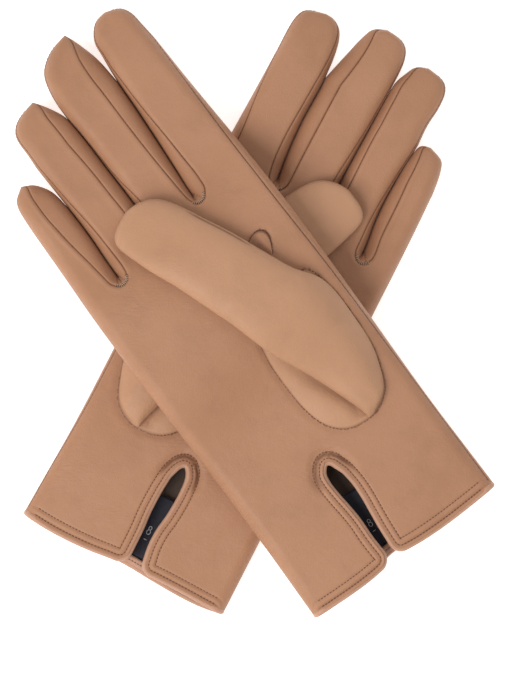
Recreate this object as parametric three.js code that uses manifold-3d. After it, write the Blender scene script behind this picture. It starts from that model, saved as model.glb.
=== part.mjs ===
import * as THREE from 'three';
import { mergeVertices } from 'three/addons/utils/BufferGeometryUtils.js';
import Module from 'manifold-3d';

const wasm = await Module();
wasm.setup();

// Sizes of one glove in mm. Across is measured from the middle of the cuff towards the index side,
// along from the cuff edge towards the fingertips, and up from the face that lies on the table.
const CUFF_HALF_WIDTH = 45.5;
const WRIST_NARROWING = 1.0;
const HAND_HEIGHT = 12;
const PALM_CROWN = 1.0;
const LEATHER = 1.5;
const SEAM_ANGLE = 57;
const SEWN_GAP = 0.15;
const HEM_DEPTH = 3;
const HEM_THICKNESS = 2.2;
const FINGER_SIDE_GAP = 0.4;
const FINGERTIP_LENGTH = 14;
const ROW_SPACING = 15;
const KNUCKLE_LINE = 181;
const LITTLE_KNUCKLE_LINE = 165;
const LINING_GAP = 0.3;
const LINING = 0.7;
const LINING_END = 135;
const VENT_FOOT = -6.2;
const VENT_TOP_ACROSS = -4.6;
const VENT_TOP = 43;
const VENT_HALF_WIDTH = 2.35;
const BINDING_WIDTH = 1.8;
const BINDING_DEPTH = 2.1;
const THUMB_HOLE = { across: 20.5, along: 82, halfWidth: 18.6, halfLength: 31.5 };
const THUMB_HEIGHT = 9;
const THUMB_HEEL_HEIGHT = 5;
const THUMB_LEATHER = 1.3;
const THUMB_LIFT = 1.3;
const CUT_TOP = 60;

// The upper glove rides over the lower one: flat over its palm, higher over its thumb, and drooping
// at the cuff and the fingertips.
const RIDE_HEIGHT = 13.8;
const RIDE_OVER_THUMB = 11;
const RIDE_CENTRE = 125;
const RIDE_HALF_LENGTH = 38;
const CUFF_DROOP = 1.6;
const CUFF_DROOP_FROM = 30;
const FINGER_DROOP = 12.4;
const FINGER_DROOP_FROM = 160;
const FINGER_DROOP_LENGTH = 88;

const GLOVES = [
  {
    name: 'right', x: 59.81, y: -95.95, turn: 36.5, mirror: 1, draped: true,
    tips: { index: 245, middle: 248.7, ring: 234.4, little: 208.2 },
  },
  {
    name: 'left', x: -53.19, y: -101.65, turn: -28, mirror: -1, draped: false,
    tips: { index: 234, middle: 240.5, ring: 233.8, little: 207 },
  },
];

// Each finger past its knuckle line: its two edges at the knuckle, at the shoulder of the tip, and
// the middle of the tip.
const FINGERS = {
  index: { from: KNUCKLE_LINE, root: [17.4, 45.5], shoulder: [20.2, 44.8], tip: 34.5 },
  middle: { from: KNUCKLE_LINE, root: [-4.2, 16.6], shoulder: [-5.6, 18.2], tip: 8 },
  ring: { from: KNUCKLE_LINE, root: [-27.1, -5.0], shoulder: [-28.2, -6.6], tip: -16 },
  little: { from: LITTLE_KNUCKLE_LINE, root: [-45.5, -28.6], shoulder: [-46, -29], tip: -36.5 },
};

// Each crotch: where the slit between two fingers ends, and where it reaches the knuckle line.
const CROTCHES = [
  { name: 'fork_index_middle', foot: [15.7, 162], head: [17.0, 181], legs: [181, 181] },
  { name: 'fork_middle_ring', foot: [-5.0, 157], head: [-4.6, 181], legs: [181, 181] },
  { name: 'fork_ring_little', foot: [-28.7, 154], head: [-27.5, 181], legs: [181, 165] },
];

const COLOURS = {
  leather: { color: '#b3845f', roughness: 0.46 },
  fourchette: { color: '#a87a57', roughness: 0.5 },
  thumb: { color: '#bf936f', roughness: 0.44 },
  binding: { color: '#c39a77', roughness: 0.42 },
  lining: { color: '#3b2a22', roughness: 0.95 },
  label: { color: '#17151a', roughness: 0.7 },
};

const rad = (degrees) => degrees * Math.PI / 180;
const mix = (a, b, k) => a + (b - a) * k;
const clamp01 = (x) => Math.min(1, Math.max(0, x));

function rideCurve(along) {
  const cuff = clamp01((CUFF_DROOP_FROM - along) / CUFF_DROOP_FROM);
  const over = Math.exp(-Math.pow((along - RIDE_CENTRE) / RIDE_HALF_LENGTH, 4));
  const droop = Math.max(0, (along - FINGER_DROOP_FROM) / FINGER_DROOP_LENGTH);
  return RIDE_HEIGHT - CUFF_DROOP * cuff * cuff + RIDE_OVER_THUMB * over
    - FINGER_DROOP * Math.pow(droop, 1.3);
}

// Straight between rows, so that pieces that lie on one another keep their gap.
function rideHeight(along) {
  const row = Math.floor(along / ROW_SPACING) * ROW_SPACING;
  return mix(rideCurve(row), rideCurve(row + ROW_SPACING), (along - row) / ROW_SPACING);
}

function handEdges(along) {
  const narrowing = WRIST_NARROWING * Math.exp(-Math.pow((along - 40) / 30, 2));
  return [-CUFF_HALF_WIDTH + narrowing, CUFF_HALF_WIDTH - narrowing];
}

// A point of a flattened tube's outline, `depth` inside its outer face. The turn goes once round:
// 0 to 1 the flat underside, 1 to 2 the index side, 2 to 3 the crowned top, 3 to 4 the far side.
function outline(left, right, height, crown, depth, turn) {
  const u = ((turn % 4) + 4) % 4;
  const round = Math.min(height, right - left) / 2;
  const inner = round - depth;
  if (u < 1) return [mix(left + round, right - round, u), depth];
  if (u < 2) {
    const angle = rad(180 * (u - 1) - 90);
    return [right - round + inner * Math.cos(angle), height / 2 + inner * Math.sin(angle)];
  }
  if (u < 3) {
    const k = 2 * (u - 2) - 1;
    return [mix(right - round, left + round, u - 2), height - depth + crown * (1 - k * k)];
  }
  const angle = rad(90 + 180 * (u - 3));
  return [left + round + inner * Math.cos(angle), height / 2 + inner * Math.sin(angle)];
}

const turnAtSeam = (angle) => 1 + (angle + 90) / 180;
const INDEX_SEAM_TOP = turnAtSeam(SEAM_ANGLE);
const INDEX_SEAM_UNDER = turnAtSeam(-SEAM_ANGLE);
const FAR_SEAM_TOP = 5 - INDEX_SEAM_TOP;
const FAR_SEAM_UNDER = 5 - INDEX_SEAM_UNDER;

// Height of the palm's upper face.
function palmTop(across, along) {
  const [left, right] = handEdges(along);
  const round = HAND_HEIGHT / 2;
  const flatHalf = (right - left) / 2 - round;
  const middle = (left + right) / 2;
  const k = (across - middle) / flatHalf;
  if (Math.abs(k) <= 1) return HAND_HEIGHT + PALM_CROWN * (1 - k * k);
  const over = Math.min(round, Math.abs(across - middle) - flatHalf);
  return round + Math.sqrt(round * round - over * over);
}

// A closed body between two matching grids of points.
function bodyBetween(outer, inner) {
  const rows = outer.length;
  const columns = outer[0].length;
  const positions = [];
  for (const grid of [outer, inner]) {
    for (const row of grid) {
      for (const point of row) positions.push(...point);
    }
  }
  const at = (side, i, j) => side * rows * columns + i * columns + j;
  const index = [];
  const quad = (a, b, c, d) => index.push(a, b, c, a, c, d);
  for (let i = 0; i < rows - 1; i += 1) {
    for (let j = 0; j < columns - 1; j += 1) {
      quad(at(0, i, j), at(0, i, j + 1), at(0, i + 1, j + 1), at(0, i + 1, j));
      quad(at(1, i, j), at(1, i + 1, j), at(1, i + 1, j + 1), at(1, i, j + 1));
    }
  }
  for (let i = 0; i < rows - 1; i += 1) {
    const last = columns - 1;
    quad(at(0, i, 0), at(0, i + 1, 0), at(1, i + 1, 0), at(1, i, 0));
    quad(at(0, i + 1, last), at(0, i, last), at(1, i, last), at(1, i + 1, last));
  }
  for (let j = 0; j < columns - 1; j += 1) {
    const last = rows - 1;
    quad(at(0, 0, j + 1), at(0, 0, j), at(1, 0, j), at(1, 0, j + 1));
    quad(at(0, last, j), at(0, last, j + 1), at(1, last, j + 1), at(1, last, j));
  }
  const geometry = new THREE.BufferGeometry();
  geometry.setAttribute('position', new THREE.Float32BufferAttribute(positions, 3));
  geometry.setIndex(index);
  return outward(geometry);
}

// A closed body from rings of points, each ring going once round, with flat ends.
function bodyFromRings(rings) {
  const count = rings[0].length;
  const positions = rings.flat(2);
  const index = [];
  for (let i = 0; i < rings.length - 1; i += 1) {
    for (let j = 0; j < count; j += 1) {
      const next = (j + 1) % count;
      const a = i * count + j;
      const b = i * count + next;
      index.push(a, b, b + count, a, b + count, a + count);
    }
  }
  for (const [ring, first] of [[rings[0], 0], [rings.at(-1), (rings.length - 1) * count]]) {
    const centre = positions.length / 3;
    const mean = [0, 1, 2].map((k) => ring.reduce((sum, p) => sum + p[k], 0) / count);
    positions.push(...mean);
    for (let j = 0; j < count; j += 1) {
      const next = (j + 1) % count;
      if (first === 0) index.push(centre, first + next, first + j);
      else index.push(centre, first + j, first + next);
    }
  }
  const geometry = new THREE.BufferGeometry();
  geometry.setAttribute('position', new THREE.Float32BufferAttribute(positions, 3));
  geometry.setIndex(index);
  return outward(geometry);
}

// Turns a body's faces outwards if they face in.
function outward(geometry) {
  const p = geometry.attributes.position;
  const index = geometry.index.array;
  const a = new THREE.Vector3();
  const b = new THREE.Vector3();
  const c = new THREE.Vector3();
  let volume = 0;
  for (let k = 0; k < index.length; k += 3) {
    a.fromBufferAttribute(p, index[k]);
    b.fromBufferAttribute(p, index[k + 1]);
    c.fromBufferAttribute(p, index[k + 2]);
    volume += a.dot(b.cross(c));
  }
  if (volume < 0) {
    for (let k = 0; k < index.length; k += 3) {
      [index[k + 1], index[k + 2]] = [index[k + 2], index[k + 1]];
    }
  }
  return geometry;
}

function toManifold(geometry) {
  const clean = geometry.clone();
  clean.deleteAttribute('normal');
  clean.deleteAttribute('uv');
  const merged = mergeVertices(clean, 1e-5);
  return new wasm.Manifold(new wasm.Mesh({
    numProp: 3,
    vertProperties: new Float32Array(merged.attributes.position.array),
    triVerts: new Uint32Array(merged.index.array),
  }));
}

function cut(geometry, tools) {
  let solid = toManifold(geometry);
  for (const tool of tools) solid = solid.subtract(toManifold(tool));
  const mesh = solid.getMesh();
  const result = new THREE.BufferGeometry();
  result.setAttribute('position', new THREE.Float32BufferAttribute(mesh.vertProperties, 3));
  result.setIndex(Array.from(mesh.triVerts));
  return result;
}

function prism(shape, bottom, top) {
  const geometry = new THREE.ExtrudeGeometry(shape, {
    depth: top - bottom, bevelEnabled: false, curveSegments: 8,
  });
  geometry.translate(0, 0, bottom);
  return geometry;
}

// Rows along the glove, at the same places for every piece.
function stations(from, to) {
  const rows = [from];
  const first = Math.ceil((from + 2) / ROW_SPACING) * ROW_SPACING;
  for (let along = first; along < to - 2; along += ROW_SPACING) rows.push(along);
  rows.push(to);
  return rows;
}

// Turns between two ends of an outline, with a point at each change from flat to round.
function turns(from, to, flatSteps, roundSteps) {
  const list = [from];
  for (let whole = Math.floor(from); whole < to; whole += 1) {
    const steps = ((whole % 2) + 2) % 2 === 0 ? flatSteps : roundSteps;
    for (let k = 0; k < steps; k += 1) {
      const turn = whole + k / steps;
      if (turn > from + 0.03 && turn < to - 0.03) list.push(turn);
    }
  }
  list.push(to);
  return list;
}

function handSheet(fromTurn, toTurn, fromAlong, toAlong, depth, thickness, flatSteps) {
  const round = turns(fromTurn, toTurn, flatSteps, 3);
  const grid = (inside) => stations(fromAlong, toAlong).map((along) => round.map((turn) => {
    const [left, right] = handEdges(along);
    const [across, up] = outline(left, right, HAND_HEIGHT, PALM_CROWN, inside, turn);
    return [across, along, up];
  }));
  return bodyBetween(grid(depth), grid(depth + thickness));
}

function fingerRows(finger, tipAlong) {
  const shoulder = tipAlong - FINGERTIP_LENGTH;
  const rows = stations(finger.from + 0.3, shoulder).map((along) => ({ along, slope: 0 }));
  for (const slope of [32, 58, 80]) rows.push({ along: shoulder, slope });
  return rows;
}

// One strip of a finger's wall, between two turns of its outline.
function fingerStrip(finger, tipAlong, fromTurn, toTurn, flatSteps, lastRow) {
  const shoulder = tipAlong - FINGERTIP_LENGTH;
  const round = turns(fromTurn, toTurn, flatSteps, 3);
  const rows = fingerRows(finger, tipAlong).slice(0, lastRow);
  const grid = (depth) => rows.map(({ along, slope }) => {
    const k = (along - finger.from) / (shoulder - finger.from);
    const left = mix(finger.root[0], finger.shoulder[0], k);
    const right = mix(finger.root[1], finger.shoulder[1], k);
    const shrink = Math.cos(rad(slope));
    const reach = Math.sin(rad(slope));
    const middle = mix((left + right) / 2, finger.tip, reach * reach * 0.8);
    const half = ((right - left) / 2 - depth) * shrink;
    const tall = (HAND_HEIGHT - 2 * depth) * shrink;
    const base = (HAND_HEIGHT - tall) / 2;
    return round.map((turn) => {
      const [across, up] = outline(-half, half, tall, PALM_CROWN * 0.6 * shrink, 0, turn);
      return [middle + across, along + (FINGERTIP_LENGTH - depth) * reach, base + up];
    });
  });
  return bodyBetween(grid(0), grid(LEATHER));
}

// The wall that runs down one finger, round the crotch and up the next.
function forkWall(crotch) {
  const round = HAND_HEIGHT / 2;
  const slant = (crotch.head[0] - crotch.foot[0]) / (crotch.head[1] - crotch.foot[1]);
  const path = [];
  const [firstLeg, secondLeg] = crotch.legs;
  const leg = (end) => stations(crotch.foot[1], end).slice(1);
  for (const along of leg(firstLeg).reverse()) path.push({ along, angle: 0 });
  for (const angle of [0, 45, 90, 135, 180]) path.push({ along: crotch.foot[1], angle });
  for (const along of leg(secondLeg)) path.push({ along, angle: 180 });
  const rise = SEAM_ANGLE - 3;
  const grid = (depth) => path.map(({ along, angle }) => {
    const rows = [];
    for (let step = 0; step <= 4; step += 1) {
      const lean = rad(mix(-rise, rise, step / 4));
      const reach = FINGER_SIDE_GAP + round - (round - depth) * Math.cos(lean);
      const across = crotch.foot[0] + slant * (along - crotch.foot[1]);
      rows.push([
        across + reach * Math.cos(rad(angle)),
        along - reach * Math.sin(rad(angle)),
        round + (round - depth) * Math.sin(lean),
      ]);
    }
    return rows;
  });
  return bodyBetween(grid(0), grid(LEATHER));
}

// The slit between two fingers, as wide as the fourchettes that show in it.
function fingerSlit(crotch) {
  const round = HAND_HEIGHT / 2;
  const half = FINGER_SIDE_GAP + round * (1 - Math.cos(rad(SEAM_ANGLE))) + SEWN_GAP;
  const [x0, y0] = crotch.foot;
  const slant = (crotch.head[0] - x0) / (crotch.head[1] - y0);
  const end = 30;
  const shape = new THREE.Shape();
  shape.moveTo(x0 + slant * end + half, y0 + end);
  shape.lineTo(x0 + slant * end - half, y0 + end);
  shape.lineTo(x0 - half, y0);
  shape.absarc(x0, y0, half, Math.PI, 2 * Math.PI, false);
  return prism(shape, -5, CUT_TOP);
}

function rectangle(left, right, from, to) {
  const shape = new THREE.Shape();
  shape.moveTo(left, from);
  shape.lineTo(right, from);
  shape.lineTo(right, to);
  shape.lineTo(left, to);
  return shape;
}

// Only the little finger ends at its own, shorter knuckle line.
function littleLobeCut() {
  const half = -28.2;
  return prism(rectangle(-60, half, LITTLE_KNUCKLE_LINE, 190), -5, CUT_TOP);
}

function ventCentre(along) {
  return mix(VENT_FOOT, VENT_TOP_ACROSS, clamp01(along / VENT_TOP));
}

// The vent widened by `grow` on both sides and at its arched top.
function ventShape(from, grow) {
  const half = VENT_HALF_WIDTH + grow;
  const shape = new THREE.Shape();
  shape.moveTo(ventCentre(from) + half, from);
  shape.lineTo(VENT_TOP_ACROSS + half, VENT_TOP);
  shape.absarc(VENT_TOP_ACROSS, VENT_TOP, half, 0, Math.PI, false);
  shape.lineTo(ventCentre(from) - half, from);
  return shape;
}

function ventBinding() {
  const path = [];
  for (const along of [0.7, 4, 17, 30]) path.push({ along, angle: 0 });
  for (const angle of [0, 36, 72, 108, 144, 180]) path.push({ along: VENT_TOP, angle });
  for (const along of [30, 17, 4, 0.7]) path.push({ along, angle: 180 });
  const grid = (grow) => path.map(({ along, angle }) => {
    const flare = along < 4 ? 0.9 : 0;
    const half = VENT_HALF_WIDTH + grow + flare;
    const across = ventCentre(along) + half * Math.cos(rad(angle));
    const at = along + half * Math.sin(rad(angle));
    const top = palmTop(across, at) + 0.3;
    return [[across, at, top - BINDING_DEPTH], [across, at, top]];
  });
  return bodyBetween(grid(BINDING_WIDTH), grid(0));
}

function cuffHem() {
  const half = VENT_HALF_WIDTH + BINDING_WIDTH + 1.2;
  const [left, right] = handEdges(0);
  const round = HAND_HEIGHT / 2;
  const turnAt = (across) => 2 + (right - round - across) / (right - left - 2 * round);
  const from = turnAt(VENT_FOOT - half);
  const to = turnAt(VENT_FOOT + half) + 4;
  const list = turns(from, to, 4, 4);
  const grid = (depth) => [0, HEM_DEPTH].map((along) => list.map((turn) => {
    const [across, up] = outline(left, right, HAND_HEIGHT, PALM_CROWN, depth, turn);
    return [across, along, up];
  }));
  return bodyBetween(grid(0), grid(HEM_THICKNESS));
}

// The thumb lies folded across the palm, its heel over the hole in the palm panel.
function thumbCurve() {
  const points = [[23, 50.3], [20.6, 68], [19.8, 88], [14.6, 112], [4, 138], [-5.6, 160], [-10.5, 177]];
  return new THREE.CatmullRomCurve3(points.map(([x, y]) => new THREE.Vector3(x, y, 0)));
}

function thumbRings(depth) {
  const curve = thumbCurve();
  const marks = [0.004, 0.05, 0.12, 0.22, 0.34, 0.46, 0.58, 0.7, 0.8, 0.88, 0.94, 0.98, 0.996];
  const trim = depth / curve.getLength();
  return marks.map((mark) => {
    const k = mix(trim, 1 - trim, mark);
    const point = curve.getPointAt(k);
    const along = curve.getTangentAt(k);
    const heel = clamp01((0.22 - mark) / 0.22);
    const tip = clamp01((mark - 0.88) / 0.12);
    const shrink = Math.sqrt(1 - heel * heel) * Math.sqrt(1 - tip * tip);
    const half = (mix(18.8, 13.4, clamp01((mark - 0.3) / 0.5)) - depth) * shrink;
    const full = mix(THUMB_HEEL_HEIGHT, THUMB_HEIGHT, clamp01(mark / 0.4));
    const tall = (full - 2 * depth) * mix(0.45, 1, shrink);
    const ring = [0.0, 0.5, 1, 1.5, 2, 2.33, 2.67, 3, 3.5].map((turn) => {
      const [across, up] = outline(-half, half, tall, 0, 0, turn);
      return [point.x + across * along.y, point.y - across * along.x, (full - tall) / 2 + up];
    });
    return ring;
  });
}

function thumbStall(draped) {
  const hole = new THREE.Shape();
  const { across, along, halfWidth, halfLength } = THUMB_HOLE;
  hole.absellipse(across, along, halfWidth - 4, halfLength - 7, 0, 2 * Math.PI, false);
  const lay = (body) => draped(raisedOnPalm(body, THUMB_LIFT));
  const inside = lay(bodyFromRings(thumbRings(THUMB_LEATHER)));
  const opening = lay(prism(hole, -4, 3));
  return cut(lay(bodyFromRings(thumbRings(0))), [inside, opening]);
}

function thumbQuirk() {
  const shape = new THREE.Shape();
  shape.moveTo(28.8, 126.6);
  shape.lineTo(23.6, 136.8);
  shape.quadraticCurveTo(26.5, 141, 31.2, 138.8);
  shape.quadraticCurveTo(31.6, 132, 28.8, 126.6);
  return raisedOnPalm(prism(shape, 0, 1), 0.35);
}

// Lets a piece of the upper glove ride over the lower one.
function rideOver(geometry) {
  const p = geometry.attributes.position;
  for (let i = 0; i < p.count; i += 1) p.setZ(i, p.getZ(i) + rideHeight(p.getY(i)));
  return geometry;
}

function raisedOnPalm(geometry, gap) {
  const p = geometry.attributes.position;
  for (let i = 0; i < p.count; i += 1) {
    p.setZ(i, p.getZ(i) + palmTop(p.getX(i), p.getY(i)) + gap);
  }
  return geometry;
}

function thumbHoleCut(grow) {
  const { across, along, halfWidth, halfLength } = THUMB_HOLE;
  const shape = new THREE.Shape();
  shape.absellipse(across, along, halfWidth - 2 + grow, halfLength - 3 + grow, 0, 2 * Math.PI, false);
  return prism(shape, -5, CUT_TOP);
}

function sizeLabel() {
  const floor = LEATHER + LINING_GAP + LINING + LINING_GAP;
  const left = VENT_FOOT - 6;
  return prism(rectangle(left, left + 13, 9, 33), floor, floor + 0.6);
}

const group = new THREE.Group();
group.name = 'crossed_leather_gloves';

function addPiece(glove, name, geometry, look) {
  const placed = mergeVertices(geometryOnly(geometry), 1e-5);
  const p = placed.attributes.position;
  const turn = rad(glove.turn);
  for (let i = 0; i < p.count; i += 1) {
    const across = p.getX(i) * glove.mirror;
    const along = p.getY(i);
    const x = glove.x + across * Math.cos(turn) - along * Math.sin(turn);
    const y = glove.y + across * Math.sin(turn) + along * Math.cos(turn);
    p.setXYZ(i, x, y, p.getZ(i));
  }
  outward(placed);
  placed.computeVertexNormals();
  const material = new THREE.MeshStandardMaterial({ ...COLOURS[look], metalness: 0 });
  material.name = `${glove.name}_${name}_${look}`;
  const mesh = new THREE.Mesh(placed, material);
  mesh.name = `${glove.name}_${name}`;
  group.add(mesh);
}

function geometryOnly(geometry) {
  const bare = geometry.clone();
  bare.deleteAttribute('normal');
  bare.deleteAttribute('uv');
  return bare;
}

for (const glove of GLOVES) {
  const draped = (geometry) => (glove.draped ? rideOver(geometry) : geometry);
  const add = (name, geometry, look) => addPiece(glove, name, geometry, look);
  const { index, middle, ring, little } = FINGERS;
  const tips = glove.tips;
  const slits = CROTCHES.map(fingerSlit);
  const start = HEM_DEPTH + 0.3;
  const gap = SEWN_GAP / (Math.PI * HAND_HEIGHT / 2);
  const fold = 3.5;

  const sheet = (...shape) => draped(handSheet(...shape));
  const palmSheet = sheet(INDEX_SEAM_TOP + gap, fold - gap, start, KNUCKLE_LINE, 0, LEATHER, 5);
  const ventCut = prism(ventShape(start - 2, BINDING_WIDTH + 0.4), -5, CUT_TOP);
  add('palm_panel', cut(palmSheet, [...slits, littleLobeCut(), ventCut, thumbHoleCut(0)]), 'leather');
  const backSheet = sheet(fold - 4 + gap, INDEX_SEAM_TOP - gap, start, KNUCKLE_LINE, 0, LEATHER, 5);
  add('back_panel', cut(backSheet, [...slits, littleLobeCut()]), 'leather');
  for (const crotch of CROTCHES) add(crotch.name, draped(forkWall(crotch)), 'fourchette');

  const strip = (name, finger, tip, from, to, look, last) => {
    add(name, draped(fingerStrip(finger, tip, from + gap, to - gap, 3, last)), look);
  };
  strip('index_palm_side', index, tips.index, INDEX_SEAM_TOP, FAR_SEAM_TOP, 'leather');
  strip('index_back_side', index, tips.index, FAR_SEAM_UNDER - 4, INDEX_SEAM_TOP, 'leather');
  strip('index_fourchette', index, tips.index, FAR_SEAM_TOP, FAR_SEAM_UNDER, 'fourchette', -1);
  for (const [name, finger] of [['middle', middle], ['ring', ring]]) {
    const tip = tips[name];
    strip(`${name}_palm_side`, finger, tip, INDEX_SEAM_TOP, FAR_SEAM_TOP, 'leather');
    strip(`${name}_back_side`, finger, tip, FAR_SEAM_UNDER - 4, INDEX_SEAM_UNDER, 'leather');
    strip(`${name}_fourchette_near`, finger, tip, INDEX_SEAM_UNDER, INDEX_SEAM_TOP, 'fourchette', -1);
    strip(`${name}_fourchette_far`, finger, tip, FAR_SEAM_TOP, FAR_SEAM_UNDER, 'fourchette', -1);
  }
  strip('little_folded_side', little, tips.little, INDEX_SEAM_TOP, INDEX_SEAM_UNDER + 4, 'leather');
  strip('little_fourchette', little, tips.little, INDEX_SEAM_UNDER, INDEX_SEAM_TOP, 'fourchette', -1);

  add('thumb_stall', thumbStall(draped), 'thumb');
  add('thumb_quirk', draped(thumbQuirk()), 'leather');
  add('vent_binding', draped(ventBinding()), 'binding');
  add('cuff_hem', draped(cuffHem()), 'binding');

  const liningDepth = LEATHER + LINING_GAP;
  const liningTop = sheet(2, 3, start, LINING_END, liningDepth, LINING, 5);
  const liningVent = prism(ventShape(start - 2, BINDING_WIDTH + 0.8), -5, CUT_TOP);
  add('palm_lining', cut(liningTop, [liningVent, thumbHoleCut(1)]), 'lining');
  add('back_lining', sheet(0, 1, start, LINING_END, liningDepth, LINING, 1), 'lining');
  add('size_label', draped(sizeLabel()), 'label');
}

export default group;
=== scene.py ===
import math

import bpy
import numpy as np
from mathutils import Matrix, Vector
from mathutils.bvhtree import BVHTree
from mathutils.kdtree import KDTree


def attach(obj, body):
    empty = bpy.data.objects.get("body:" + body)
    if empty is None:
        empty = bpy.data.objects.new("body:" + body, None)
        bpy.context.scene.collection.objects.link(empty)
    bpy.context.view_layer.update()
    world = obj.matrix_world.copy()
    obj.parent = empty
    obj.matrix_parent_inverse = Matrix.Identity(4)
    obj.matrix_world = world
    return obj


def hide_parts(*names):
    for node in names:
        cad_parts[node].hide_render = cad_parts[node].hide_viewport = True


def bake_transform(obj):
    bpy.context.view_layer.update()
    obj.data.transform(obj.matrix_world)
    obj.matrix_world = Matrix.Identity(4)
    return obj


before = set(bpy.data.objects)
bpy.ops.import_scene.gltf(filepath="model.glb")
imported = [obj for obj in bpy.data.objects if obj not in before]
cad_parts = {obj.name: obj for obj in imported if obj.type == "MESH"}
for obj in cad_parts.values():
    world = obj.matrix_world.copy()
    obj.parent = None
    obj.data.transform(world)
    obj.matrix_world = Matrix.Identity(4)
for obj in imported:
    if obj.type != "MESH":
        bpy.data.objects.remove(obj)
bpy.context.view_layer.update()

# Everything below is worked out flat on the table for one glove, in millimetres: across from the
# middle of the cuff towards the index side, along from the cuff to the fingertips, and up.
MM = 0.001
HAND_HEIGHT = 12.0
CUFF_HEIGHT = 9.5
PALM_CROWN = 1.3
PALM_END = 135
HALF_WIDTH = 45
FINGER_REACH = 5.2
KNUCKLE = 181.0
LITTLE_KNUCKLE = 165.0
KNUCKLE_REACH = 8.0
CROTCH_DEPTH = 5.0
CROTCH_TURN = 4.5
SEAM_INSET = 2.6
SHARED_ROWS_TO = 168.0
VENT_TOP = 45.3
VENT_ROLL = 1.3
HEM_ROLL = 1.25
HEM_LINE = 1.4
CORNER = 4.0
ARCH_START = 37.0
ARCH_HEIGHT = VENT_TOP + VENT_ROLL - ARCH_START
ROW_OFFSETS = (1.4, 4.0)
HEM_END = 4.5
THUMB_CLEAR = 0.7
WELD_STEP = 0.002


def curve(*points):
    """A smooth function through (along, value) points, level beyond both ends."""
    xs = np.array([p[0] for p in points], float)
    ys = np.array([p[1] for p in points], float)
    slopes = np.gradient(ys, xs)

    def value(x):
        x = np.clip(np.asarray(x, float), xs[0], xs[-1])
        k = np.clip(np.searchsorted(xs, x, side="right") - 1, 0, len(xs) - 2)
        step = xs[k + 1] - xs[k]
        u = (x - xs[k]) / step
        rise = ys[k + 1] - ys[k]
        a = slopes[k] * step - rise
        b = rise - slopes[k + 1] * step
        return ys[k] + u * rise + u * (1 - u) * ((1 - u) * a + u * b)

    return value


def smooth(x):
    """0 below 0, 1 above 1, and an even S between them."""
    x = np.clip(x, 0.0, 1.0)
    return x * x * (3 - 2 * x)


def bell(distance, width):
    """1 at no distance, falling away smoothly on both sides."""
    return np.exp(-((distance / width) ** 2))


def ride_height(along):
    """How far the upper glove is lifted by the lower one that it crosses."""
    level, cuff_dip, middle_rise, tip_droop = 13.8, 1.6, 11.0, 12.4
    along = np.asarray(along, float)
    cuff = np.clip((30 - along) / 30, 0, 1)
    over = np.exp(-(((along - 125) / 38) ** 4))
    droop = np.clip((along - 160) / 88, 0, None)
    return level - cuff_dip * cuff**2 + middle_rise * over - tip_droop * droop**1.3


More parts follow.
